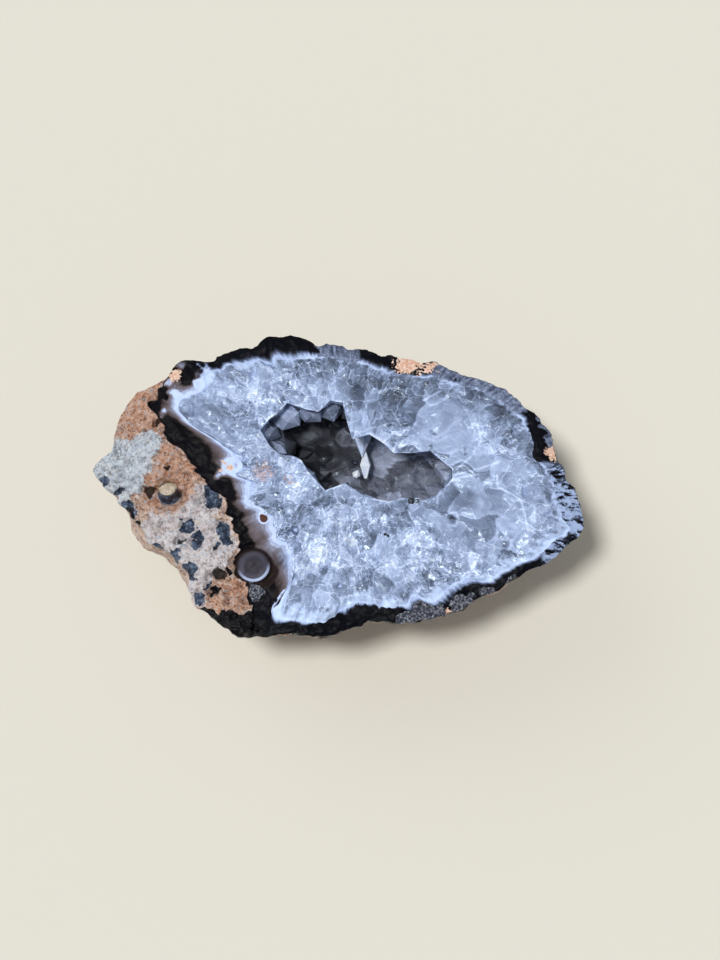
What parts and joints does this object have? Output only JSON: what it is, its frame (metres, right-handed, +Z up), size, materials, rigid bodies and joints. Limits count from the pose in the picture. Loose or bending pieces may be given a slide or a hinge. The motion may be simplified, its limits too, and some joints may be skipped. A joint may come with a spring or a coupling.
{
  "type": "geode half",
  "caption": "Half of a broken quartz geode on its rounded back: rock on one side, a dark agate band, milky quartz round a crystal-lined hollow.",
  "frame": {"origin": "under the middle of the bounding box, on the plane of the resting patch", "axes": "+X along the longest extent, from the thick rock to the nodule's far end; +Z up, out of the broken face; +Y to the back as the picture shows it"},
  "size_m": [0.1012, 0.0672, 0.0321],
  "materials": {
    "host_rock": "rough, weathered, rust and tan with grey patches",
    "agate": "waxy to glassy broken chalcedony, black to brown-grey",
    "quartz": "glassy, milky to half clear, broken",
    "crystal": "clear to smoky crystal with flat faces"
  },
  "bodies": {
    "root": {"host_rock": "host_rock", "agate_shell": "agate", "quartz_lining": "quartz", "crystal_crust": "crystal"}
  },
  "joints": []
}
